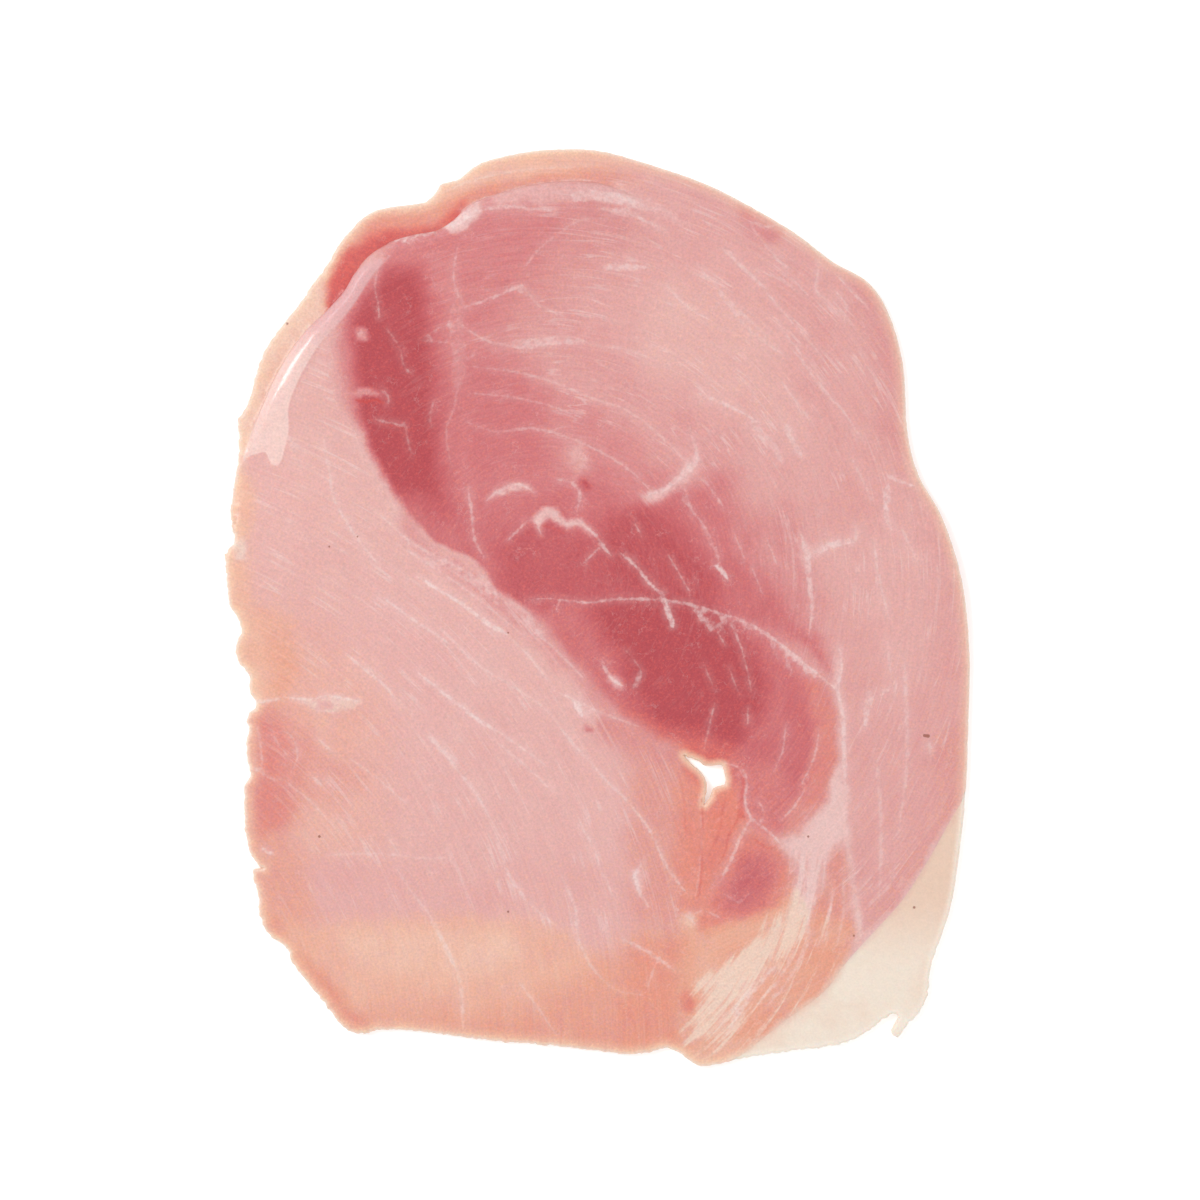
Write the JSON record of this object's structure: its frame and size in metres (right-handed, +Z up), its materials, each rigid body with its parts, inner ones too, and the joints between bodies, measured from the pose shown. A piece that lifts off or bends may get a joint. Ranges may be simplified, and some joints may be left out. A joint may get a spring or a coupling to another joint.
{
  "type": "boneless ham slice",
  "caption": "Thin slice of boneless cooked ham with a fat corner, a pleat along its upper left edge and a small tear, lying flat.",
  "frame": {"origin": "middle of the slice's bounding box, at the surface that it lies on", "axes": "+X across the slice, towards its smooth curved side; +Y along its length, from the fat corner towards the pleat; +Z up, through its thickness"},
  "size_m": [0.1484, 0.183, 0.0044],
  "materials": {
    "lean": "moist cooked ham, satin",
    "fat": "soft cream pork fat, satin"
  },
  "bodies": {
    "root": {"lean_meat": "lean", "fat_cap": "fat"}
  },
  "joints": []
}
